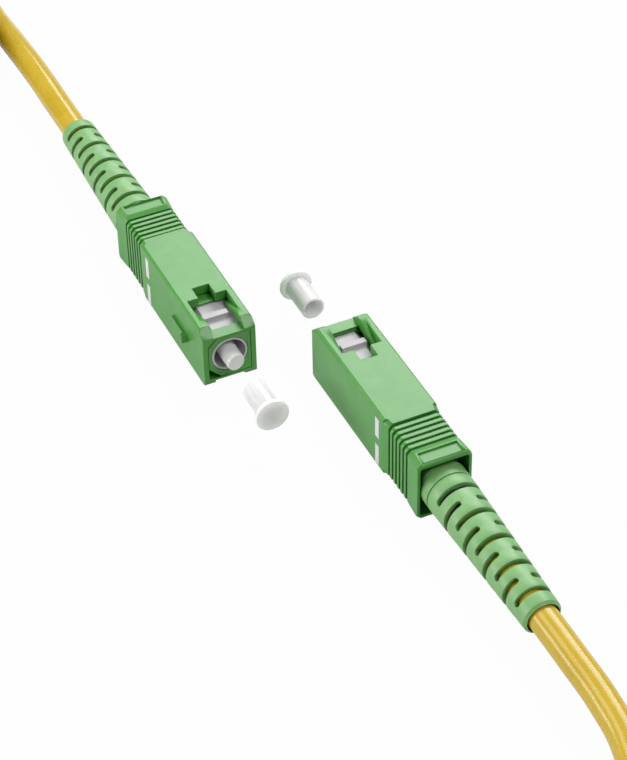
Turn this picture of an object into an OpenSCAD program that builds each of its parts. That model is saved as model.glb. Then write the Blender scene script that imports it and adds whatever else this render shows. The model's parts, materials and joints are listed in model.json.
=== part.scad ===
// Fibre patch cord: two angled push-pull plugs with boots and dust caps on one coiled cord.
// The two ends are the same assembly, turned half a turn about the Z axis at the origin.
// Each end is drawn on its own axis: X = 0 is the front face of its housing, X falls towards
// the boot, and Y = 0, Z = 0 is the axis of the ferrule. The end_a and end_b modules then lay
// it on the floor, Z = 0. All sizes are in millimetres.

/* [Layout] */
// Angle between the plugs' axes and the Y axis
lay_angle = 24; // [0:1:40]
// Distance between the planes of the two front faces
front_gap = 4; // [3:0.5:6]
// Distance between the axes of the two plugs
axis_gap = 13.5; // [13:0.5:18]
// Distance from a housing's front face to the open end of its dust cap
cap_out = 7.5; // [4:0.1:10]

/* [Grip housing] */
// Width across the sides
grip_w = 7.39; // [7.2:0.01:9]
// Height from bottom to top
grip_h = 8.99; // [8.8:0.01:11]
// Length from the front face to the rear rim
grip_l = 30; // [29:0.5:36]
// Thickness of the two side walls
side_wall = 0.7; // [0.6:0.01:0.72]
// Thickness of the top and bottom walls
top_wall = 1.14; // [1:0.01:1.2]
// Travel of the housing along the plug frame
grip_travel = 2; // [1:0.1:2.2]
// Drop of the top wall at the front lead-in
lead_drop = 1.1; // [0.4:0.1:1.1]
// Length of the front lead-in
lead_run = 1.4; // [0.8:0.1:2]
// Radius of the long outer edges
edge_r = 0.4; // [0.2:0.1:0.8]
// Height of the grip zone's step below the front body
grip_step = 0.2; // [0.1:0.05:0.25]
// Number of grip grooves
groove_n = 6; // [3:1:6]
// Depth of a grip groove
groove_d = 0.3; // [0.15:0.05:0.35]
// Height of the key rail across the housing
key_h = 1.1; // [0.8:0.1:2.5]
// Length of the key rail
key_l = 4.9; // [3:0.1:8]
// Height of the key rail's front end above the side wall
key_out = 0.9; // [0.5:0.1:1.5]

/* [Latch windows] */
// Length of the wide part of a window
window_l = 4.3; // [3.5:0.1:5]
// Width of the wide part of a window
window_w = 5.5; // [4:0.1:5.6]
// Length of the narrow rear part of a window
notch_l = 2.2; // [1:0.1:3]
// Width of the narrow rear part of a window
notch_w = 2.4; // [1.5:0.1:3]
// Width between the ramps and of the slot from a window to the front face
slot_w = 4.3; // [3:0.1:4.6]
// Depth of the slot in front of the top window
slot_d = 1.2; // [0.9:0.05:1.2]
// Depth of the slot in front of the bottom window
bottom_slot_d = 0.8; // [0.5:0.05:0.85]
// Drop of the ramps along both sides of a window
ramp_d = 1.6; // [1:0.1:1.6]

/* [Plug frame and core] */
// Running clearance between the housing and the plug frame
run_gap = 0.05; // [0.03:0.01:0.1]
// Thickness of the plug frame's side walls
frame_wall = 0.42; // [0.3:0.01:0.5]
// Thickness of the plug frame's front plate
plate_t = 1.8; // [1.2:0.1:2.2]
// Wall of the core's nose
nose_wall = 0.3; // [0.2:0.05:0.35]
// Room round the ferrule in the nose, for an alignment sleeve
sleeve_room = 0.95; // [0.8:0.05:1]
// Depth of the bore in the core's nose
nose_depth = 4.35; // [4:0.05:4.6]
// Height of the two latch bars above the core
bar_h = 0.6; // [0.3:0.05:0.65]

/* [Ferrule] */
// Diameter of the ferrule
ferrule_d = 2.5; // [2:0.01:2.55]
// Length of the ferrule
ferrule_l = 10.5; // [9:0.1:12]
// How far the ferrule stands out of the housing
ferrule_out = 2; // [1.5:0.1:2.5]
// Angle of the polished end face
polish_angle = 8; // [0:1:9]
// Diameter of the fibre
fibre_d = 0.125; // [0.12:0.001:0.13]
// Diameter of the tight buffer on the fibre
buffer_d = 0.9; // [0.8:0.05:1]
// How far the ferrule can be pushed back
float_travel = 1; // [0.5:0.1:1.5]
// Wire thickness of the ferrule spring
spring_wire = 0.4; // [0.2:0.05:0.45]
// Number of turns of the ferrule spring
spring_turns = 6; // [4:1:7]

/* [Boot and cord] */
// Diameter of the cord
cord_d = 3.8; // [3:0.1:4]
// Length of the boot behind the housing
boot_l = 24.6; // [22:0.1:30]
// Diameter of the boot's collar
collar_d = 6.4; // [6.2:0.05:6.5]
// Length of the boot's straight part, before its taper
straight_l = 2.5; // [2:0.5:14]
// Diameter of the boot at its tail
tail_d = 5; // [4.9:0.1:6]
// Distance between two slots in one row of the boot
slot_pitch = 4.6; // [4:0.1:5]
// Width of a slot in the boot
flex_slot = 0.85; // [0.5:0.05:1]
// Half the angle that a slot in the boot spans
slot_span = 62; // [50:1:64]

/* [Dust cap] */
// Wall of the cap's tube
cap_wall = 0.32; // [0.2:0.01:0.5]
// Diameter of the cap's flange
cap_flange_d = 4.5; // [4:0.1:5]
// Thickness of the cap's flange
cap_flange_t = 0.6; // [0.4:0.1:1]
// Depth of the cap's bore
cap_depth = 5.3; // [4:0.1:5.6]
// Gap between the ferrule and the cap's bore
cap_gap = 0.03; // [0.02:0.01:0.05]

/* [Hidden] */
$fn = 64;
touch = 0.02;      // gap between two pieces that seat on each other
eps = 0.01;        // how far a cutter runs past the face that it opens

// Stations along X that follow the housing's rear rim
rear_rim_l = 3;
rear_rim_x = rear_rim_l - grip_l;
step_x = 9.4 - grip_l;
groove_x = step_x - 1.1;
mark_x = step_x + 1.7;
boot_front = 5 - grip_l;
collar_front = 0.7 - grip_l;
collar_rear = -grip_l - 1.45;
top_slot_x = -grip_l - 3.8;
boot_tail = -grip_l - boot_l;
jacket_rear = boot_tail + 0.6;

// Housing and plug frame
axis_z = grip_h / 2;
cavity_w = grip_w - 2 * side_wall;
cavity_h = grip_h - 2 * top_wall;
cavity_chamfer = 1.1;
ceiling_drop = 0.3;  // how much lower the ceiling is over the plug frame than behind it
ceiling_z = cavity_h / 2 - ceiling_drop;
frame_w = cavity_w - 2 * run_gap;
frame_top = ceiling_z - run_gap;
frame_bottom = run_gap - cavity_h / 2;
frame_chamfer = 1.2;
frame_under_chamfer = 1.6;
frame_recess = 0.05;
frame_rear = 9.95 - grip_l;
frame_seat_l = 6.4;
stop_room = 0.25;
grip_chamfer = 0.5;
rim_l = 2.4;
rim_edge = 0.3;
rim_chamfer = 0.6;
rim_wall_w = 0.4;
rim_wall_h = 0.7;
rim_bore_chamfer = 0.2;
rim_bore_x = collar_front + grip_travel + 0.1;
groove_w = 0.4;
groove_pitch = 0.95;
window_x = -2.8;
slot_rear_x = -1.8;
label_l = 1.85;
label_w = 5.3;
label_d = 0.25;
label_edge = 0.35;
key_x = -5.2;
key_rear_out = 0.4;
key_rear_run = 0.4;
key_front_l = 1;
key_front_run = 0.4;
bottom_drop = 0.5;
bottom_run = 0.7;

// White bars on the sides of the housing
mark_w = 1;
mark_h = 3.1;
mark_d = 0.15;
mark_upper_z = 1.85;
mark_lower_z = -2.55;

// Core, seen through the windows
plate_rear = -frame_recess - plate_t;
seat_front = frame_rear + frame_seat_l;
pocket_w = frame_w - 2 * frame_wall;
pocket_h = 5.5;
pocket_chamfer = 1.1;
core_gap = 0.05;
core_top = pocket_h / 2 - core_gap;
core_rear = seat_front + touch;
opening_w = 4.8;
opening_l = 5.7;
bar_w = 3.5;
bar_l = 0.95;
bar_x = -4.1;
nose_bore = ferrule_d + 2 * sleeve_room;
nose_d = nose_bore + 2 * nose_wall;
shoulder_l = 0.6;
shoulder_gap = 0.1;
shoulder_rear = -nose_depth - shoulder_l;

// Ferrule and the flange pressed on it; the flange and the spring run in the core's bore
ferrule_rear = ferrule_out - ferrule_l;
ferrule_bore = fibre_d + 0.001;
seat_taper = 0.02;  // how much the press seat's radius falls over its length
tip_chamfer = 0.18;
tip_chamfer_l = 0.65;
tip_l = 0.3;        // stock in front of the tip, which the polish takes off
flange_d = nose_bore - 0.1;
flange_t = 2;
flange_front = shoulder_rear - touch;
flange_rear = flange_front - flange_t;
barrel_wall = 0.15;
barrel_d = ferrule_d + 2 * barrel_wall;
barrel_entry = 0.35;
barrel_rear = seat_front - barrel_entry;
key_slot_w = 0.8;
key_slot_d = 0.5;
key_slot_n = 4;
buffer_gap = 0.05;
buffer_front = ferrule_rear - 0.5;
buffer_rear = jacket_rear + float_travel + 0.5;
fibre_recess = 0.05;
spring_d = nose_bore - 0.3;
spring_l = flange_rear - seat_front - 2 * touch;
spring_steps = 12;
spring_sides = 6;

// Stop body, guide tube and crimp
stop_nose_d = 4.8;
stop_flange_d = 5.5;
stop_flange_t = 1.4;
stop_flange_rear = frame_rear - touch - stop_flange_t;
stop_barrel_d = cord_d;
stop_rear = -grip_l - 1;
stop_counterbore_d = barrel_d + 0.3;
stop_counterbore_x = barrel_rear - float_travel - 0.75;
tube_wall = 0.3;
tube_bore = buffer_d + 2 * buffer_gap;
tube_d = tube_bore + 2 * tube_wall;
crimp_wall = 0.3;
crimp_front = stop_flange_rear - 0.8;
crimp_step = stop_rear - 1;
crimp_rear = crimp_step - 4;
crimp_grip_bore = cord_d + 2 * touch;
yarn_t = 0.2;
yarn_front = crimp_front - 0.2;
yarn_rear = jacket_rear + 1;
crimp_bore = stop_barrel_d + 2 * yarn_t + 2 * touch;
crimp_d = crimp_bore + 2 * crimp_wall;
jacket_front = crimp_step;
jacket_bore = 2.4;

// Boot
neck_w = 0.2;
neck_depth = 0.15;
boot_sleeve_d = min(cavity_w, cavity_h) - 0.2;
boot_bore = crimp_d + 2 * touch;
boot_bore_end = crimp_rear - 0.3;
cord_bore = cord_d + 0.1;
tail_round = 0.35;
tail_flare = 0.25;
top_slot_n = 5;
side_slot_n = 4;
fan_steps = 8;

// Dust cap
cap_bore = ferrule_d + 2 * cap_gap;
cap_d = cap_bore + 2 * cap_wall;

// Route of the free cord: chosen points of its centreline on the floor, from each boot
route_a = [
  [-29, 48.5, 4.5], [-32.5, 56.3, 4.5], [-36.1, 64.5, 4.4], [-39.8, 72.7, 3.9],
  [-43.4, 80.9, 2.9], [-47.7, 90.5, 2.3]
];
route_b = [
  [29, -48.5, 4.5], [32, -55.3, 4.5], [34.7, -61.7, 4.5], [36.7, -68.3, 4.4],
  [37.1, -75.3, 4], [35.1, -81.9, 3.4], [30.4, -87, 2.8], [24, -89.8, 2.3],
  [16, -90.7, 1.9], [7, -90.8, 1.9], [-3, -90.6, 1.9], [-13, -90.2, 1.9],
  [-23, -89.4, 1.9], [-33, -87.6, 1.9], [-42.6, -84.8, 1.9], [-51.6, -80.4, 1.9],
  [-59.6, -74.4, 1.9], [-66.2, -66.8, 1.9], [-71, -58, 1.9], [-73.8, -48.4, 1.9],
  [-74.8, -38.4, 1.9], [-74.8, -28.4, 1.9], [-74.2, -18.4, 1.9], [-73.6, -8.4, 1.9],
  [-73.4, 1.6, 1.9], [-73.4, 11.6, 1.9], [-73.8, 21.6, 1.9], [-75, 31.4, 2.6],
  [-77, 41.2, 4.2], [-79.6, 50.8, 6.4], [-82.4, 60, 8.6], [-85.2, 68.8, 9.8],
  [-87, 75.4, 9.9]
];
cord_sides = 8;

// Coil of the rest of the cord, two turns wide and three high, and the strap round it
coil_x = -67;
coil_y = 81.9;
coil_inner_r = 17.3;
coil_outer_r = coil_inner_r + cord_d;
coil_layers = 3;
coil_chamfer = 1.1;
coil_in = coil_inner_r - cord_d / 2;
coil_out = coil_outer_r + cord_d / 2;
coil_h = coil_layers * cord_d;
strap_t = 0.4;
strap_w = 5;
strap_slack = 0.3;
strap_angle = 135;

// ---- helpers ----

// Lays one end on the floor: turn 0 is end a, and turn 180 is end b
module lay(turn) {
  rotate([0, 0, turn + lay_angle - 90])
    translate([-front_gap / 2, -axis_gap / 2, axis_z])
      children();
}

module end_a() {
  lay(0) children();
}

module end_b() {
  lay(180) children();
}

// Extrudes a section drawn in (y, z) along X, from x0 up to x1
module run(x0, x1) {
  translate([x0, 0, 0])
    rotate([90, 0, 90])
      linear_extrude(x1 - x0)
        children();
}

// Turns a profile of [x, radius] points about the X axis
module turned(profile) {
  rotate([0, 90, 0])
    rotate_extrude()
      polygon([for (p = profile) [p[1], p[0]]]);
}

// A plain tube about the X axis
module tube(x0, x1, d, bore) {
  turned([[x0, bore / 2], [x0, d / 2], [x1, d / 2], [x1, bore / 2]]);
}

module rod(x0, x1, d) {
  translate([x0, 0, 0])
    rotate([0, 90, 0])
      cylinder(h = x1 - x0, d = d);
}

// A rectangle with all four corners cut by c
module cut_rect(w, h, c) {
  polygon([
    [-w / 2 + c, -h / 2], [w / 2 - c, -h / 2], [w / 2, -h / 2 + c], [w / 2, h / 2 - c],
    [w / 2 - c, h / 2], [-w / 2 + c, h / 2], [-w / 2, h / 2 - c], [-w / 2, -h / 2 + c]
  ]);
}

// A rectangle with the two corners on the key side cut by c
module keyed_rect(w, h, c) {
  polygon([
    [-w / 2 + c, -h / 2], [w / 2, -h / 2], [w / 2, h / 2],
    [-w / 2 + c, h / 2], [-w / 2, h / 2 - c], [-w / 2, -h / 2 + c]
  ]);
}

module round_rect(w, h, r) {
  square([w - 2 * r, h], center = true);
  square([w, h - 2 * r], center = true);
  for (y = [-1, 1], z = [-1, 1])
    translate([y * (w / 2 - r), z * (h / 2 - r)])
      circle(r);
}

// Repeats a shape on the top and, upside down, on the bottom
module both_faces() {
  for (a = [0, 180])
    rotate([a, 0, 0])
      children();
}

// Points of a ring of radius r round p, square to the direction t
function ring(p, t, r, sides, start = 0) =
  let (side = cross(t, [0, 0, 1]) / norm(cross(t, [0, 0, 1])), up = cross(side, t) / norm(t))
  [for (k = [0:sides - 1])
    let (a = start + 360 * k / sides) p + r * (cos(a) * side + sin(a) * up)];

function direction(path, i) = path[min(i + 1, len(path) - 1)] - path[max(i - 1, 0)];

// Sweeps a round section along a list of points
module sweep(path, d, sides, start = 0) {
  n = len(path);
  points = [
    for (i = [0:n - 1])
      each ring(path[i], direction(path, i), d / 2, sides, start)
  ];
  sides_quads = [
    for (i = [0:n - 2], k = [0:sides - 1])
      let (j = (k + 1) % sides)
      [i * sides + k, i * sides + j, (i + 1) * sides + j, (i + 1) * sides + k]
  ];
  first_end = [for (k = [sides - 1:-1:0]) k];
  last_end = [for (k = [0:sides - 1]) (n - 1) * sides + k];
  polyhedron(points, concat([first_end], sides_quads, [last_end]));
}

// ---- grip housing ----

// Side view of the front body, with its lead-in slopes, as (x, z)
module side_view() {
  polygon([
    [0, bottom_drop - grip_h / 2], [0, grip_h / 2 - lead_drop], [-lead_run, grip_h / 2],
    [step_x, grip_h / 2], [step_x, -grip_h / 2], [-bottom_run, -grip_h / 2]
  ]);
}

module front_body() {
  intersection() {
    run(step_x, 0) round_rect(grip_w, grip_h, edge_r);
    translate([0, grip_w / 2, 0])
      rotate([90, 0, 0])
        linear_extrude(grip_w)
          side_view();
  }
}

module grip_section() {
  cut_rect(grip_w - 2 * grip_step, grip_h - 2 * grip_step, grip_chamfer);
}

// The grip zone, with short slopes from the sides of the front body in to it
module grip_zone() {
  run(rear_rim_x, groove_x + eps) grip_section();
  hull() {
    run(step_x, step_x + eps) cut_rect(grip_w, grip_h, rim_chamfer);
    run(groove_x, groove_x + eps) cut_rect(grip_w - 2 * grip_step, grip_h, rim_chamfer);
  }
}

// The rear rim: its top and bottom rise at once to the full height, its sides over its length,
// and its rear edges above and below are cut
module rear_rim() {
  w = grip_w - 2 * grip_step * rim_l / rear_rim_l;
  hull() {
    run(rear_rim_x, rear_rim_x + eps) grip_section();
    run(rim_l - grip_l, rim_l - grip_l + eps) cut_rect(w, grip_h, rim_chamfer);
  }
  hull() {
    run(rim_l - grip_l, rim_l - grip_l + eps) cut_rect(w, grip_h, rim_chamfer);
    run(rim_edge - grip_l, rim_edge - grip_l + eps) cut_rect(grip_w, grip_h, rim_chamfer);
    run(-grip_l, eps - grip_l) cut_rect(grip_w, grip_h - 2 * rim_edge, rim_chamfer);
  }
}

// Rail on the side that a panel's keyway takes, higher at its front end
module key_rail() {
  side = -grip_w / 2;
  translate([0, 0, -key_h / 2])
    linear_extrude(key_h)
      polygon([
        [key_x, side + eps], [key_x - key_l, side + eps],
        [key_x - key_l + key_rear_run, side - key_rear_out],
        [key_x - key_front_l, side - key_rear_out],
        [key_x - key_front_l + key_front_run, side - key_out], [key_x, side - key_out]
      ]);
}

// Window through the top wall, with a notch behind it, a slot from it to the front face, and
// on both sides a ramp, which lifts the panel's latches when the housing is pulled back
module window_cutter(front_d) {
  rear = window_x - window_l;
  z0 = cavity_h / 2 - cavity_chamfer;
  z1 = grip_h / 2 + eps;
  translate([rear, -slot_w / 2, z0])
    cube([slot_rear_x - rear, slot_w, z1 - z0]);
  translate([rear - notch_l, -notch_w / 2, z0])
    cube([notch_l + eps, notch_w, z1 - z0]);
  translate([slot_rear_x - eps, -slot_w / 2, grip_h / 2 - front_d])
    cube([1 - slot_rear_x, slot_w, front_d + eps]);
  translate([0, window_w / 2, 0])
    rotate([90, 0, 0])
      linear_extrude(window_w)
        polygon([[rear, z1], [rear, grip_h / 2 - ramp_d], [window_x, grip_h / 2], [window_x, z1]]);
}

// Room for the plug frame, with its upper corner on the key side cut
module frame_room() {
  side = cavity_w / 2;
  polygon([
    [-side, -cavity_h / 2], [side, -cavity_h / 2], [side, ceiling_z],
    [cavity_chamfer - side, ceiling_z], [-side, ceiling_z - cavity_chamfer]
  ]);
}

module grooves() {
  inner_w = grip_w - 2 * grip_step - 2 * groove_d;
  inner_h = grip_h - 2 * grip_step - 2 * groove_d;
  for (k = [0:groove_n - 1])
    run(groove_x - groove_w - k * groove_pitch, groove_x - k * groove_pitch)
      difference() {
        square([grip_w + 1, grip_h + 1], center = true);
        cut_rect(inner_w, inner_h, grip_chamfer - groove_d / 2);
      }
}

module mark_places(depth, extra) {
  for (side = [-1, 1], z = [mark_upper_z, mark_lower_z])
    translate([mark_x, side * (grip_w / 2 - depth / 2 + extra / 2), z])
      cube([mark_w, depth + extra, mark_h], center = true);
}

module grip_housing() {
  color("#5cab52") {
    difference() {
      union() {
        front_body();
        grip_zone();
        rear_rim();
      }
      run(frame_rear - stop_room, 1) frame_room();
      run(-grip_l - 1, frame_rear) cut_rect(cavity_w, cavity_h, cavity_chamfer);
      run(-grip_l - 1, rim_bore_x)
        cut_rect(grip_w - 2 * rim_wall_w, grip_h - 2 * rim_wall_h, rim_bore_chamfer);
      window_cutter(slot_d);
      rotate([180, 0, 0]) window_cutter(bottom_slot_d);
      grooves();
      mark_places(mark_d, eps);
      translate([-grip_l + label_edge, -label_w / 2, grip_h / 2 - label_d])
        cube([label_l, label_w, 1]);
    }
    key_rail();
  }
}

module position_marks() {
  color("white") mark_places(mark_d, 0);
}

// ---- plug frame and core ----

// Outline of the plug frame, with both corners on the key side cut
module frame_section() {
  side = frame_w / 2;
  polygon([
    [frame_under_chamfer - side, frame_bottom], [side, frame_bottom], [side, frame_top],
    [frame_chamfer - side, frame_top], [-side, frame_top - frame_chamfer],
    [-side, frame_bottom + frame_under_chamfer]
  ]);
}

module plug_frame() {
  color("#5cab52")
    difference() {
      run(frame_rear, -frame_recess) frame_section();
      rod(plate_rear - eps, 1, nose_d + 2 * core_gap);
      run(seat_front, plate_rear) keyed_rect(pocket_w, pocket_h, pocket_chamfer);
      rod(frame_rear - 1, seat_front + eps, stop_nose_d + 2 * touch);
      both_faces()
        translate([plate_rear - opening_l, -opening_w / 2, pocket_h / 2 - pocket_chamfer])
          cube([opening_l, opening_w, cavity_h]);
    }
}

module latch_core() {
  front = -frame_recess - touch;
  block_front = plate_rear - touch;
  color("#b5b0b6")
    difference() {
      union() {
        rod(block_front - eps, front, nose_d);
        run(core_rear, block_front)
          keyed_rect(pocket_w - 2 * core_gap, pocket_h - 2 * core_gap, pocket_chamfer);
        both_faces()
          translate([bar_x - bar_l, -bar_w / 2, 0])
            cube([bar_l, bar_w, core_top + bar_h]);
      }
      rod(-nose_depth, 1, nose_bore);
      rod(shoulder_rear - eps, 0, ferrule_d + 2 * shoulder_gap);
      rod(core_rear - 1, shoulder_rear, nose_bore);
    }
}

// ---- ferrule unit ----

// Radius of the ferrule's press seat at x: it tapers back from the full radius at -nose_depth
function seat_r(x) = ferrule_d / 2 - seat_taper * (x + nose_depth) / (ferrule_rear + nose_depth);

module ferrule() {
  r = ferrule_d / 2;
  tip = ferrule_out + tip_l;
  color("#dcdcd8")
    difference() {
      turned([
        [ferrule_rear, ferrule_bore / 2], [ferrule_rear, seat_r(ferrule_rear)],
        [-nose_depth, r], [tip - tip_chamfer_l, r], [tip, r - tip_chamfer],
        [tip, ferrule_bore / 2]
      ]);
      translate([ferrule_out, 0, 0])
        rotate([0, 0, polish_angle])
          translate([0, -ferrule_d, -ferrule_d])
            cube(2 * ferrule_d);
    }
}

module ferrule_flange() {
  bore = buffer_d + 2 * buffer_gap;
  color("#c9cbcd")
    difference() {
      turned([
        [flange_front, seat_r(flange_front)], [flange_front, flange_d / 2],
        [flange_rear, flange_d / 2], [flange_rear, barrel_d / 2], [barrel_rear, barrel_d / 2],
        [barrel_rear, bore / 2], [ferrule_rear, bore / 2], [ferrule_rear, seat_r(ferrule_rear)]
      ]);
      for (k = [1:key_slot_n])
        rotate([360 * k / key_slot_n, 0, 0])
          translate([flange_rear, -key_slot_w / 2, flange_d / 2 - key_slot_d])
            cube([flange_t / 2, key_slot_w, flange_d]);
    }
}

module fibre() {
  color("#e8f0f4") rod(buffer_front, ferrule_out - fibre_recess, fibre_d);
}

module buffer() {
  color("#f2f0e6") rod(buffer_rear, buffer_front, buffer_d);
}

module ferrule_spring() {
  steps = spring_turns * spring_steps;
  r = (spring_d - spring_wire) / 2;
  pitch_l = spring_l - spring_wire;
  start = flange_rear - touch - spring_wire / 2;
  path = [
    for (i = [0:steps])
      let (a = 360 * i / spring_steps)
      [start - pitch_l * i / steps, r * cos(a), r * sin(a)]
  ];
  color("#b8bcc0") spring_sweep(path, r);
}

// Sweep for the spring, whose rings are square to the X axis's circles
module spring_sweep(path, r) {
  n = len(path);
  points = [
    for (i = [0:n - 1], k = [0:spring_sides - 1])
      let (
        a = 360 * k / spring_sides,
        out = [0, path[i][1], path[i][2]] / r
      )
      path[i] + spring_wire / 2 * (sin(a) * [1, 0, 0] + cos(a) * out)
  ];
  quads = [
    for (i = [0:n - 2], k = [0:spring_sides - 1])
      let (j = (k + 1) % spring_sides)
      [
        i * spring_sides + j, i * spring_sides + k,
        (i + 1) * spring_sides + k, (i + 1) * spring_sides + j
      ]
  ];
  first_end = [for (k = [0:spring_sides - 1]) k];
  last_end = [for (k = [spring_sides - 1:-1:0]) (n - 1) * spring_sides + k];
  polyhedron(points, concat([first_end], quads, [last_end]));
}

// ---- stop body and crimp ----

module stop_body() {
  flange_x = frame_rear - touch;
  color("#c2a35a")
    difference() {
      union() {
        rod(flange_x - eps, seat_front, stop_nose_d);
        rod(stop_flange_rear, flange_x, stop_flange_d);
        rod(stop_rear, stop_flange_rear + eps, stop_barrel_d);
      }
      rod(stop_rear - 1, seat_front + 1, tube_d + 2 * touch);
      rod(stop_counterbore_x, seat_front + 1, stop_counterbore_d);
    }
}

module guide_tube() {
  color("#e9e4d4") tube(stop_rear, stop_counterbore_x, tube_d, tube_bore);
}

// Yarn round the buffer in the jacket, folded forward over the stop body's barrel
module aramid_yarn() {
  outer = stop_barrel_d / 2 + yarn_t;
  inner = stop_barrel_d / 2 + touch / 2;
  fold = crimp_step + touch;
  strand_r = jacket_bore / 2 - touch;
  core_r = buffer_d / 2 + buffer_gap;
  color("#e6c33a")
    turned([
      [yarn_front, inner], [yarn_front, outer], [fold, outer], [fold, strand_r],
      [yarn_rear, strand_r], [yarn_rear, core_r], [stop_rear - touch, core_r],
      [stop_rear - touch, inner]
    ]);
}

module crimp_sleeve() {
  step = crimp_step - crimp_wall;
  grip_r = crimp_grip_bore / 2;
  color("#cfd2d4")
    turned([
      [crimp_front, crimp_bore / 2], [crimp_front, crimp_d / 2], [step, crimp_d / 2],
      [step, grip_r + crimp_wall], [crimp_rear, grip_r + crimp_wall], [crimp_rear, grip_r],
      [crimp_step, grip_r], [crimp_step, crimp_bore / 2]
    ]);
}

module jacket_end() {
  color("#e0b43a") tube(jacket_rear, jacket_front - touch, cord_d, jacket_bore);
}

// ---- boot ----

// Slot through the boot's wall, spanning slot_span to both sides of the top, with round ends
module flex_cutter(x) {
  reach = collar_d;
  fan = [
    for (k = [0:fan_steps])
      let (a = slot_span * (2 * k / fan_steps - 1))
      reach * [sin(a), cos(a)]
  ];
  run(x - flex_slot / 2, x + flex_slot / 2)
    polygon(concat([[0, 0]], fan));
  for (a = [-slot_span, slot_span])
    translate([x, 0, 0])
      rotate([-a, 0, 0])
        cylinder(h = reach, d = flex_slot);
}

module boot() {
  r = collar_d / 2;
  color("#5cab52")
    difference() {
      turned([
        [boot_front, boot_bore / 2], [boot_front, boot_sleeve_d / 2],
        [collar_front, boot_sleeve_d / 2], [collar_front, r], [collar_rear, r],
        [collar_rear, r - neck_depth], [collar_rear - neck_w, r - neck_depth],
        [collar_rear - neck_w, r], [-grip_l - straight_l, r],
        [boot_tail + tail_round, tail_d / 2],
        [boot_tail, tail_d / 2 - tail_round], [boot_tail, cord_bore / 2 + tail_flare],
        [boot_tail + 2 * tail_flare, cord_bore / 2], [boot_bore_end, cord_bore / 2],
        [boot_bore_end, boot_bore / 2]
      ]);
      for (k = [0:top_slot_n - 1])
        both_faces() flex_cutter(top_slot_x - k * slot_pitch);
      for (k = [0:side_slot_n - 1])
        rotate([90, 0, 0])
          both_faces() flex_cutter(top_slot_x - (k + 0.5) * slot_pitch);
    }
}

// ---- dust cap ----

module dust_cap() {
  bottom = cap_out + cap_depth;
  color("white")
    turned([
      [cap_out, cap_bore / 2], [cap_out, cap_d / 2], [bottom, cap_d / 2],
      [bottom, cap_flange_d / 2], [bottom + cap_flange_t, cap_flange_d / 2],
      [bottom + cap_flange_t, 0], [bottom, 0], [bottom, cap_bore / 2]
    ]);
}

// ---- free cord ----

module cord_lead_a() {
  color("#e0b43a") sweep(route_a, cord_d, cord_sides, 180 / cord_sides);
}

module cord_lead_b() {
  color("#e0b43a") sweep(route_b, cord_d, cord_sides, 180 / cord_sides);
}

module cord_coil() {
  w = coil_out - coil_in;
  color("#e0b43a")
    translate([coil_x, coil_y, strap_t])
      rotate_extrude()
        translate([coil_in + w / 2, coil_h / 2])
          cut_rect(w, coil_h, coil_chamfer);
}

// Flat strap round the coil's bundle of turns
module coil_strap() {
  w = coil_out - coil_in + 2 * strap_slack;
  color("#2a2a2c")
    translate([coil_x, coil_y, strap_t + coil_h / 2])
      rotate([90, 0, strap_angle])
        translate([(coil_in + coil_out) / 2, 0, -strap_w / 2])
          linear_extrude(strap_w)
            difference() {
              cut_rect(w + 2 * strap_t, coil_h + 2 * strap_t, coil_chamfer);
              cut_rect(w, coil_h, coil_chamfer);
            }
}

// ---- nodes ----

end_a() grip_housing();  // grip_housing_a
end_a() position_marks();  // position_marks_a
end_a() plug_frame();  // plug_frame_a
end_a() latch_core();  // latch_core_a
end_a() ferrule();  // ferrule_a
end_a() ferrule_flange();  // ferrule_flange_a
end_a() fibre();  // fibre_a
end_a() buffer();  // buffer_a
end_a() ferrule_spring();  // ferrule_spring_a
end_a() stop_body();  // stop_body_a
end_a() guide_tube();  // guide_tube_a
end_a() aramid_yarn();  // aramid_yarn_a
end_a() crimp_sleeve();  // crimp_sleeve_a
end_a() jacket_end();  // jacket_end_a
end_a() boot();  // boot_a
end_a() dust_cap();  // dust_cap_a
end_b() grip_housing();  // grip_housing_b
end_b() position_marks();  // position_marks_b
end_b() plug_frame();  // plug_frame_b
end_b() latch_core();  // latch_core_b
end_b() ferrule();  // ferrule_b
end_b() ferrule_flange();  // ferrule_flange_b
end_b() fibre();  // fibre_b
end_b() buffer();  // buffer_b
end_b() ferrule_spring();  // ferrule_spring_b
end_b() stop_body();  // stop_body_b
end_b() guide_tube();  // guide_tube_b
end_b() aramid_yarn();  // aramid_yarn_b
end_b() crimp_sleeve();  // crimp_sleeve_b
end_b() jacket_end();  // jacket_end_b
end_b() boot();  // boot_b
end_b() dust_cap();  // dust_cap_b
cord_lead_a();
cord_coil();
cord_lead_b();
coil_strap();
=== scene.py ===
"""Looks of a fibre patch cord: its free cord, its refined plugs, boots and caps, and a white studio."""

import json
import math

import bmesh
import bpy
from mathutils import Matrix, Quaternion, Vector

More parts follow.
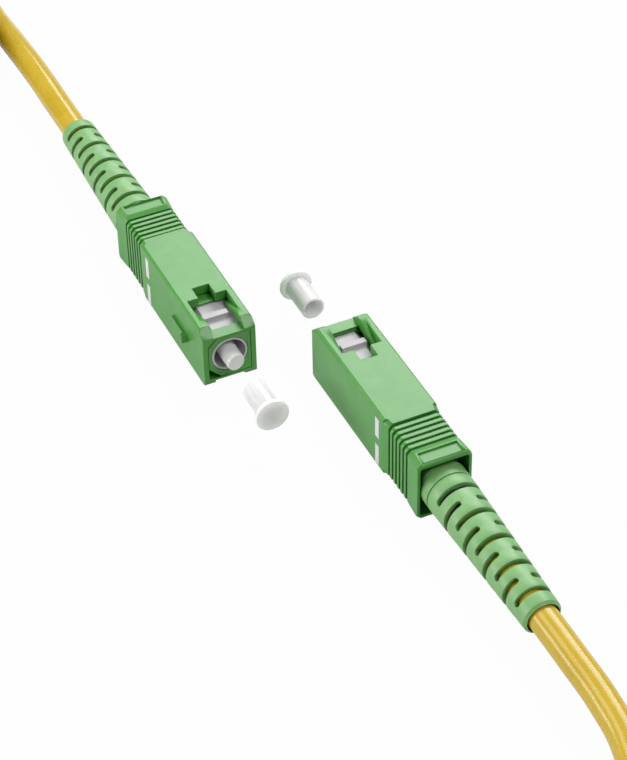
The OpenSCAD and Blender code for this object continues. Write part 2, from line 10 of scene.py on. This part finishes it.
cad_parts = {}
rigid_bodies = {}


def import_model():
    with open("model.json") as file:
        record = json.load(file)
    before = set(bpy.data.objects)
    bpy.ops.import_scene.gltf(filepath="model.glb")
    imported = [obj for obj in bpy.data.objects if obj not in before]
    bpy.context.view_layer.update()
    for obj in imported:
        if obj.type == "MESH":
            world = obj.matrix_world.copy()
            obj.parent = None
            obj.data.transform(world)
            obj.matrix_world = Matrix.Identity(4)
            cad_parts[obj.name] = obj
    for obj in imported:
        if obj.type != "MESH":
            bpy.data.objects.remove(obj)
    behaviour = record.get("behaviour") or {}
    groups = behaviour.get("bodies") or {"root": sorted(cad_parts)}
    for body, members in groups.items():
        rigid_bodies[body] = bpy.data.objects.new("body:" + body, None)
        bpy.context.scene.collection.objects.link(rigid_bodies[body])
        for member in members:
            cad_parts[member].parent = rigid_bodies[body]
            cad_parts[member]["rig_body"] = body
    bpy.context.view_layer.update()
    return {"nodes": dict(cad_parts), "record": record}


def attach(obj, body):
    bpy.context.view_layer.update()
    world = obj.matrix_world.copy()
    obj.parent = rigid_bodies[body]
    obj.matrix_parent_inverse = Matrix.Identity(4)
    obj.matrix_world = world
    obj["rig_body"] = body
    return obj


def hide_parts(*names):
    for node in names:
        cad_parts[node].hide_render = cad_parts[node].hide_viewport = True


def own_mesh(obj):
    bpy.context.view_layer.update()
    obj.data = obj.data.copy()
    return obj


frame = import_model()

MM = 0.001
ENDS = ("a", "b")


def link(obj):
    bpy.context.scene.collection.objects.link(obj)
    return obj


# ---- camera ----

CAMERA_AT = Vector((2.82, -244.98, 212.42)) * MM
CAMERA_AIM = Vector((3.67, -6.57, 4.59)) * MM
CAMERA_ROLL = math.radians(-1.33)
CAMERA_LENS = 117.87
SENSOR_WIDTH = 36
CLIP_NEAR = 1 * MM
CLIP_FAR = 10


def add_camera():
    data = bpy.data.cameras.new("camera")
    data.lens = CAMERA_LENS
    data.sensor_width = SENSOR_WIDTH
    data.clip_start = CLIP_NEAR
    data.clip_end = CLIP_FAR
    camera = link(bpy.data.objects.new("camera", data))
    look = (CAMERA_AIM - CAMERA_AT).to_track_quat("-Z", "Y")
    camera.rotation_mode = "QUATERNION"
    camera.rotation_quaternion = look @ Quaternion((0, 0, 1), CAMERA_ROLL)
    camera.location = CAMERA_AT
    bpy.context.scene.camera = camera


add_camera()

# ---- free cord ----

CORD_D = 3.8
CORD_SIDES = 10
CORD_STEPS = 10

# Chosen points of the cord's centreline, from each boot's tail, in millimetres
ROUTE_A = [
    (-29, 48.5, 4.5), (-32.5, 56.3, 4.5), (-36.1, 64.5, 4.4), (-39.8, 72.7, 3.9),
    (-43.4, 80.9, 2.9),
]
ROUTE_B = [
    (29, -48.5, 4.5), (32, -55.3, 4.5), (34.7, -61.7, 4.5), (36.7, -68.3, 4.4),
    (37.1, -75.3, 4), (35.1, -81.9, 3.4), (30.4, -87, 2.8), (24, -89.8, 2.3),
    (16, -90.7, 1.9), (7, -90.8, 1.9), (-3, -90.6, 1.9), (-13, -90.2, 1.9),
    (-23, -89.4, 1.9), (-33, -87.6, 1.9), (-42.6, -84.8, 1.9), (-51.6, -80.4, 1.9),
    (-59.6, -74.4, 1.9), (-66.2, -66.8, 1.9), (-71, -58, 1.9), (-73.8, -48.4, 1.9),
    (-74.8, -38.4, 1.9), (-74.8, -28.4, 1.9), (-74.2, -18.4, 1.9), (-73.6, -8.4, 1.9),
    (-73.4, 1.6, 1.9), (-73.4, 11.6, 1.9), (-73.8, 21.6, 1.9), (-75, 31.4, 2.6),
    (-77, 41.2, 4.2), (-79.6, 50.8, 6.4), (-82.4, 60, 8.6), (-85.2, 68.8, 9.8),
]

# Coil: two turns wide and three high, wound from its outer bottom turn up to its outer top turn
COIL_CENTRE = (-67, 81.9)
COIL_RADII = (17.3, 21.1)
COIL_FLOOR = 0.4
COIL_ORDER = [(1, 0), (0, 0), (0, 1), (1, 1), (1, 2)]  # column and layer of each turn
COIL_START = 24
COIL_END = 198
COIL_STEP = 27.7
CHANGE_SHARE = 0.25


def smooth(t):
    """0 to 1 with a soft start and end."""
    t = min(max(t, 0), 1)
    return t * t * (3 - 2 * t)


def turn_place(column, layer):
    """Radius and height of one place in the coil's section."""
    return COIL_RADII[column], COIL_FLOOR + CORD_D * (layer + 0.5)


def coil_place(index):
    """Radius and height of a turn, or of the last one for what comes after it."""
    return turn_place(*COIL_ORDER[min(index, len(COIL_ORDER) - 1)])


def coil_points():
    """Points of the turns. Over its last quarter, each turn moves to the next one's place."""
    total = 360 * (len(COIL_ORDER) - 1) + COIL_END - COIL_START
    steps = round(total / COIL_STEP)
    points = []
    for k in range(steps + 1):
        turned = total * k / steps
        turn = int(turned // 360)
        share = smooth((turned / 360 - turn - 1 + CHANGE_SHARE) / CHANGE_SHARE)
        (r0, z0), (r1, z1) = coil_place(turn), coil_place(turn + 1)
        angle = math.radians(COIL_START + turned)
        r = r0 + (r1 - r0) * share
        points.append((
            COIL_CENTRE[0] + r * math.cos(angle),
            COIL_CENTRE[1] + r * math.sin(angle),
            z0 + (z1 - z0) * share,
        ))
    return points


def add_cord():
    """One jacketed cord from the tail of boot a, round the coil, to the tail of boot b."""
    points = ROUTE_A + coil_points() + ROUTE_B[::-1]
    data = bpy.data.curves.new("cord", "CURVE")
    data.dimensions = "3D"
    data.bevel_depth = 1  # times each knot's radius
    data.bevel_resolution = CORD_SIDES
    data.resolution_u = CORD_STEPS
    data.use_fill_caps = True
    spline = data.splines.new("BEZIER")
    spline.bezier_points.add(len(points) - 1)
    for knot, point in zip(spline.bezier_points, points):
        knot.co = Vector(point) * MM
        knot.radius = CORD_D / 2 * MM
        knot.handle_left_type = knot.handle_right_type = "AUTO"
    cord = link(bpy.data.objects.new("cord", data))
    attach(cord, "cord_and_frames")
    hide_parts("cord_lead_a", "cord_coil", "cord_lead_b")
    return cord


cord = add_cord()

# ---- materials ----

CLOUD_MM = 2.5
CLOUD_DETAIL = 3
GRAIN_DETAIL = 2
TONES_FROM, TONES_TO = 0.35, 0.65  # part of the clouds' noise over which the tone changes
CLOSED, OPEN = 0.25, 0.75  # share of open sky at which the painted groove shade is full, and gone


def srgb(r, g, b):
    """A colour as it looks on a screen, 0 to 255, in Blender's linear numbers."""
    return tuple((c / 255) ** 2.2 for c in (r, g, b)) + (1,)


class Shader:
    """A new material with its node tree, its Principled shader and short ways to add nodes."""

    def __init__(self, name):
        self.material = bpy.data.materials.new(name)
        self.material.use_nodes = True
        self.nodes = self.material.node_tree.nodes
        self.links = self.material.node_tree.links
        self.main = self.nodes["Principled BSDF"]
        self.place = self.nodes.new("ShaderNodeTexCoord").outputs["Object"]

    def set(self, **values):
        """Sets the shader's own sockets, named with _ for a space."""
        for name, value in values.items():
            self.main.inputs[name.replace("_", " ")].default_value = value

    def noise(self, size_mm, detail):
        """Noise whose blobs are about size_mm wide."""
        node = self.nodes.new("ShaderNodeTexNoise")
        node.inputs["Scale"].default_value = 1 / (size_mm * MM)
        node.inputs["Detail"].default_value = detail
        self.links.new(self.place, node.inputs["Vector"])
        return node.outputs["Fac"]

    def tint(self, source, dark, light):
        """Base colour that runs from dark to light with a source."""
        ramp = self.nodes.new("ShaderNodeValToRGB")
        stops = ramp.color_ramp.elements
        stops[0].position, stops[0].color = TONES_FROM, dark
        stops[1].position, stops[1].color = TONES_TO, light
        self.links.new(source, ramp.inputs["Fac"])
        self.links.new(ramp.outputs["Color"], self.main.inputs["Base Color"])

    def paint_groove_shade(self, colour, reach_mm):
        """Painted shade: base colour that turns darker down in grooves and slots, where shade falls, as
        ambient occlusion finds them.
        """
        shade = self.nodes.new("ShaderNodeAmbientOcclusion")
        shade.inputs["Distance"].default_value = reach_mm * MM
        span = self.nodes.new("ShaderNodeMapRange")
        span.inputs["From Min"].default_value = CLOSED
        span.inputs["From Max"].default_value = OPEN
        mix = self.nodes.new("ShaderNodeMix")
        mix.data_type = "RGBA"
        mix.inputs["A"].default_value = colour
        base = self.main.inputs["Base Color"]
        self.links.new(shade.outputs["AO"], span.inputs["Value"])
        self.links.new(span.outputs["Result"], mix.inputs["Factor"])
        self.links.new(base.links[0].from_socket, mix.inputs["B"])
        self.links.new(mix.outputs["Result"], base)

    def rough(self, source, low, high):
        """Roughness that runs from low to high with a source."""
        span = self.nodes.new("ShaderNodeMapRange")
        span.inputs["To Min"].default_value = low
        span.inputs["To Max"].default_value = high
        self.links.new(source, span.inputs["Value"])
        self.links.new(span.outputs["Result"], self.main.inputs["Roughness"])

    def bump(self, source, height_mm):
        """Relief of the source, height_mm in depth."""
        node = self.nodes.new("ShaderNodeBump")
        node.inputs["Distance"].default_value = height_mm * MM
        self.links.new(source, node.inputs["Height"])
        self.links.new(node.outputs["Normal"], self.main.inputs["Normal"])


def moulded(name, dark, light, rough, grain_mm=0.12, bump_mm=0.002, deep=None, reach_mm=1, **sockets):
    """A surface with clouds of two close tones over a fine satin grain, and painted shade down in its
    grooves and slots where a shade colour is given.
    """
    shader = Shader(name)
    shader.tint(shader.noise(CLOUD_MM, CLOUD_DETAIL), srgb(*dark), srgb(*light))
    # painted shade: the base colour darkens down in grooves and slots
    if deep:
        shader.paint_groove_shade(srgb(*deep), reach_mm)
    grain = shader.noise(grain_mm, GRAIN_DETAIL)
    shader.rough(grain, *rough)
    shader.bump(grain, bump_mm)
    shader.set(**sockets)
    return shader.material


FINISHES = {
    "connector_green": dict(
        dark=(73, 149, 60), light=(79, 155, 66), rough=(0.28, 0.36), bump_mm=0.001,
        # painted shade: near-black green down in the grooves and window recesses
        deep=(8, 56, 8), reach_mm=0.5, Specular_IOR_Level=0.5,
    ),
    "boot_green": dict(
        dark=(122, 178, 108), light=(128, 183, 114), rough=(0.42, 0.5), bump_mm=0.0006,
        # painted shade: dark olive down in the boot's slots
        deep=(52, 98, 22), reach_mm=1.2, Specular_IOR_Level=0.75,
    ),
    "core_grey": dict(dark=(197, 193, 197), light=(204, 200, 204), rough=(0.4, 0.5)),
    "mark_white": dict(dark=(228, 227, 228), light=(233, 232, 233), rough=(0.5, 0.6)),
    "ceramic_white": dict(
        dark=(238, 237, 235), light=(243, 242, 240), rough=(0.18, 0.26), bump_mm=0.0004,
    ),
    "nickel_steel": dict(
        dark=(190, 190, 192), light=(202, 202, 205), rough=(0.25, 0.38), Metallic=1.0,
    ),
    "spring_steel": dict(
        dark=(170, 172, 176), light=(184, 186, 190), rough=(0.25, 0.35), Metallic=1.0,
    ),
    "stop_brass": dict(
        dark=(196, 164, 96), light=(210, 178, 108), rough=(0.25, 0.36), Metallic=1.0,
    ),
    "tube_white": dict(dark=(224, 218, 202), light=(232, 227, 212), rough=(0.3, 0.4)),
    "yarn_yellow": dict(
        dark=(212, 176, 60), light=(230, 198, 90), rough=(0.6, 0.8), grain_mm=0.06, bump_mm=0.02,
    ),
    "crimp_metal": dict(
        dark=(196, 198, 200), light=(210, 212, 214), rough=(0.3, 0.42), Metallic=1.0,
    ),
    "buffer_white": dict(dark=(236, 232, 220), light=(242, 239, 230), rough=(0.25, 0.35)),
    "fibre_glass": dict(
        dark=(226, 236, 240), light=(232, 240, 244), rough=(0.05, 0.1), bump_mm=0.0001,
    ),
    "cord_yellow": dict(
        dark=(204, 172, 48), light=(210, 178, 56), rough=(0.2, 0.23), grain_mm=4, bump_mm=0.0001,
        Specular_IOR_Level=0.45,
    ),
    "cap_white": dict(
        dark=(248, 248, 248), light=(251, 251, 251), rough=(0.3, 0.4),
        Subsurface_Weight=1.0, Subsurface_Radius=(1, 1, 1), Subsurface_Scale=0.001,
    ),
    "strap_black": dict(
        dark=(36, 36, 38), light=(52, 52, 55), rough=(0.7, 0.9), grain_mm=0.1, bump_mm=0.03,
    ),
}
MATERIALS = {name: moulded(name, **finish) for name, finish in FINISHES.items()}
cord.data.materials.append(MATERIALS["cord_yellow"])

# ---- pieces that refine the CAD nodes ----

MERGE = 0.015 * MM
FLAT = math.radians(0.6)
SHARP = math.radians(28)
EDGE_SEGMENTS = 2
CREASE = 35

# Radius of each node's edges, in millimetres
ROUNDED = {
    "grip_housing": 0.05,
    "plug_frame": 0.05,
    "latch_core": 0.05,
    "boot": 0.04,
    "dust_cap": 0.1,
    "position_marks": 0.02,
    "ferrule": 0.04,
}


def body_of(node):
    return frame["nodes"][node]["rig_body"]


def slot_of(node):
    return next(s["material_slot"] for s in frame["record"]["subparts"] if s["node"] == node)


def mesh_object(name, bm, crease):
    """An object of the bmesh's shape, smooth but for edges sharper than crease degrees."""
    mesh = bpy.data.meshes.new(name)
    bm.to_mesh(mesh)
    bm.free()
    mesh.shade_smooth()
    mesh.set_sharp_from_angle(angle=math.radians(crease))
    return link(bpy.data.objects.new(name, mesh))


def refine(node, radius_mm=0):
    """A piece of the node's own shape with whole flat faces and rounded edges, in its place."""
    bm = bmesh.new()
    bm.from_mesh(frame["nodes"][node].data)
    bmesh.ops.remove_doubles(bm, verts=bm.verts, dist=MERGE)
    bmesh.ops.dissolve_limit(bm, angle_limit=FLAT, verts=bm.verts, edges=bm.edges)
    if radius_mm:
        edges = [e for e in bm.edges if len(e.link_faces) == 2 and e.calc_face_angle() > SHARP]
        bmesh.ops.bevel(
            bm, geom=edges, offset=radius_mm * MM, offset_type="OFFSET", segments=EDGE_SEGMENTS,
            profile=0.5, affect="EDGES", clamp_overlap=False,
        )
    bmesh.ops.triangulate(bm, faces=[f for f in bm.faces if len(f.verts) > 4])
    piece = mesh_object(node + "_refined", bm, CREASE)
    piece.modifiers.new("normals", "WEIGHTED_NORMAL").keep_sharp = True
    slot = slot_of(node)
    piece.data.materials.append(MATERIALS[slot])
    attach(piece, body_of(node))
    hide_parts(node)
    return piece


def add_spring(end):
    """The ferrule's spring as a refined piece with a mesh of its own; the real spring shortens against
    its rear end as the ferrule is pushed back.
    """
    spring = refine(f"ferrule_spring_{end}")
    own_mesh(spring)


for end in ENDS:
    for name, radius in ROUNDED.items():
        refine(f"{name}_{end}", radius)
    add_spring(end)

# ---- strap round the coil, in millimetres ----

STRAP_T = 0.38
STRAP_W = 5
STRAP_ANGLE = 135
STRAP_GAP = 0.03
STRAP_START = 0.3
STRAP_OVERLAP = 9
STRAP_RAMP = 1.2
STRAP_STEP = 0.3
STRAP_EDGE = 0.1
STRAP_CREASE = 40
RING_POINTS = 48


def hull(points):
    """The convex outline of points, turning left."""
    points = sorted(set(points))
    halves = []
    for run in (points, points[::-1]):
        half = []
        for p in run:
            while len(half) > 1 and (
                (half[-1][0] - half[-2][0]) * (p[1] - half[-2][1])
                - (half[-1][1] - half[-2][1]) * (p[0] - half[-2][0])
            ) <= 0:
                half.pop()
            half.append(p)
        halves.append(half[:-1])
    return halves[0] + halves[1]


def strap_outline():
    """The tight outline round the turns under the strap, as (radius, height)."""
    reach = CORD_D / 2 + STRAP_GAP
    points = []
    for column, layer in COIL_ORDER:
        r, z = turn_place(column, layer)
        for k in range(RING_POINTS):
            a = math.radians(360 / RING_POINTS * k)
            points.append((r + reach * math.cos(a), z + reach * math.sin(a)))
    return hull(points)


def side_lengths(outline):
    return [math.dist(a, b) for a, b in zip(outline, outline[1:] + outline[:1])]


def along(outline, s):
    """Point and outward normal at the length s along a closed outline."""
    lengths = side_lengths(outline)
    s %= sum(lengths)
    for i, length in enumerate(lengths):
        if s <= length:
            break
        s -= length
    a, b = outline[i], outline[(i + 1) % len(outline)]
    t = ((b[0] - a[0]) / length, (b[1] - a[1]) / length)
    return (a[0] + t[0] * s, a[1] + t[1] * s), (t[1], -t[0])


def strap_section():
    """Cross-section of the strap with small cut corners, as (across, out)."""
    w, t, cut = STRAP_W / 2, STRAP_T / 2, STRAP_EDGE
    return [
        (-w, -t + cut), (-w + cut, -t), (-w / 3, -t), (w / 3, -t), (w - cut, -t), (w, -t + cut),
        (w, t - cut), (w - cut, t), (w / 3, t), (-w / 3, t), (-w + cut, t), (-w, t - cut),
    ]


def add_strap():
    """Hook-and-loop strap, pulled tight round the coil, whose end lies on its start."""
    outline = strap_outline()
    around = sum(side_lengths(outline))
    start = around * STRAP_START
    total = around + STRAP_OVERLAP
    steps = round(total / STRAP_STEP)
    section = strap_section()
    angle = math.radians(STRAP_ANGLE)
    out = Vector((math.cos(angle), math.sin(angle), 0))
    side = Vector((-math.sin(angle), math.cos(angle), 0))
    centre = Vector((COIL_CENTRE[0], COIL_CENTRE[1], 0))
    bm = bmesh.new()
    rings = []
    for k in range(steps + 1):
        s = total * k / steps
        lift = STRAP_T / 2 + (STRAP_T + STRAP_GAP) * smooth((s - around + STRAP_RAMP) / STRAP_RAMP)
        (r, z), (nr, nz) = along(outline, start + s)
        rings.append([
            bm.verts.new((
                centre + out * (r + nr * (lift + t)) + side * w + Vector((0, 0, z + nz * (lift + t)))
            ) * MM)
            for w, t in section
        ])
    n = len(section)
    for a, b in zip(rings, rings[1:]):
        for j in range(n):
            bm.faces.new((a[j], a[(j + 1) % n], b[(j + 1) % n], b[j]))
    bm.faces.new(rings[0][::-1])
    bm.faces.new(rings[-1])
    bmesh.ops.recalc_face_normals(bm, faces=bm.faces)
    strap = mesh_object("strap", bm, STRAP_CREASE)
    strap.data.materials.append(MATERIALS["strap_black"])
    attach(strap, "cord_and_frames")
    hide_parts("coil_strap")
    return strap


strap = add_strap()

for node, piece in frame["nodes"].items():
    if not piece.hide_render:
        piece.data.materials.clear()
        piece.data.materials.append(MATERIALS[slot_of(node)])

# ---- studio ----

WHITE = (1, 1, 1, 1)
FLOOR_SIZE = 4
FLOOR_COLOUR = 0.66
FLOOR_ROUGH = 0.9
FLOOR_WHITE = 0.97
FLOOR_SHINE = 0.45
WORLD_LEVEL = 0.17

# Each lamp's name, place, size and power, in metres and watts
LAMPS = [
    ("key", (0.2, 0.68, 0.56), (0.66, 0.42), 6.1),
    ("rear_left", (-0.42, 0.27, 0.56), (0.26, 0.26), 0.9),
    ("side", (-0.8, -0.08, 0.2), (0.8, 0.24), 4.3),
    ("overhead", (0.38, -0.25, 0.66), (0.3, 0.3), 2.3),
]


def straight_view(nodes, links, path):
    """1 for the camera's own rays and for those that pass through a translucent piece."""
    seen = nodes.new("ShaderNodeMath")
    seen.operation = "MAXIMUM"
    links.new(path.outputs["Is Camera Ray"], seen.inputs[0])
    links.new(path.outputs["Is Transmission Ray"], seen.inputs[1])
    return seen.outputs[0]


def mix_shaders(nodes, links, share, first, second):
    mix = nodes.new("ShaderNodeMixShader")
    links.new(share, mix.inputs["Fac"])
    links.new(first, mix.inputs[1])
    links.new(second, mix.inputs[2])
    return mix.outputs["Shader"]


def white_to_camera(material):
    """The camera sees the surface mostly as plain white, and what mirrors it partly so."""
    nodes, links = material.node_tree.nodes, material.node_tree.links
    path = nodes.new("ShaderNodeLightPath")
    part = nodes.new("ShaderNodeMath")
    part.operation = "MULTIPLY"
    part.inputs[1].default_value = FLOOR_WHITE
    links.new(straight_view(nodes, links, path), part.inputs[0])
    both = nodes.new("ShaderNodeMath")
    both.operation = "MULTIPLY_ADD"
    both.inputs[1].default_value = FLOOR_SHINE
    links.new(path.outputs["Is Glossy Ray"], both.inputs[0])
    links.new(part.outputs[0], both.inputs[2])
    white = nodes.new("ShaderNodeEmission")
    lit = nodes["Principled BSDF"].outputs["BSDF"]
    mixed = mix_shaders(nodes, links, both.outputs[0], lit, white.outputs["Emission"])
    links.new(mixed, nodes["Material Output"].inputs["Surface"])


def add_floor():
    h = FLOOR_SIZE / 2
    mesh = bpy.data.meshes.new("floor")
    mesh.from_pydata([(-h, -h, 0), (h, -h, 0), (h, h, 0), (-h, h, 0)], [], [(0, 1, 2, 3)])
    floor = link(bpy.data.objects.new("floor", mesh))
    material = bpy.data.materials.new("floor_white")
    material.use_nodes = True
    main = material.node_tree.nodes["Principled BSDF"]
    main.inputs["Base Color"].default_value = (FLOOR_COLOUR,) * 3 + (1,)
    main.inputs["Roughness"].default_value = FLOOR_ROUGH
    white_to_camera(material)
    mesh.materials.append(material)


def add_world():
    """An even soft light, which the camera sees as plain white."""
    world = bpy.data.worlds.new("studio")
    world.use_nodes = True
    bpy.context.scene.world = world
    nodes, links = world.node_tree.nodes, world.node_tree.links
    light = nodes["Background"]
    light.inputs["Color"].default_value = WHITE
    light.inputs["Strength"].default_value = WORLD_LEVEL
    path = nodes.new("ShaderNodeLightPath")
    white = nodes.new("ShaderNodeBackground")
    white.inputs["Color"].default_value = WHITE
    seen = straight_view(nodes, links, path)
    mixed = mix_shaders(nodes, links, seen, light.outputs["Background"], white.outputs["Background"])
    links.new(mixed, nodes["World Output"].inputs["Surface"])


def add_lamp(name, at, size, power):
    """A rectangular lamp that faces the origin."""
    data = bpy.data.lights.new(name, "AREA")
    data.shape = "RECTANGLE"
    data.size, data.size_y = size
    data.energy = power
    lamp = link(bpy.data.objects.new(name, data))
    lamp.location = at
    lamp.rotation_mode = "QUATERNION"
    lamp.rotation_quaternion = (-Vector(at)).to_track_quat("-Z", "Y")


add_floor()
add_world()
for lamp in LAMPS:
    add_lamp(*lamp)
bpy.context.scene.view_settings.view_transform = "Standard"
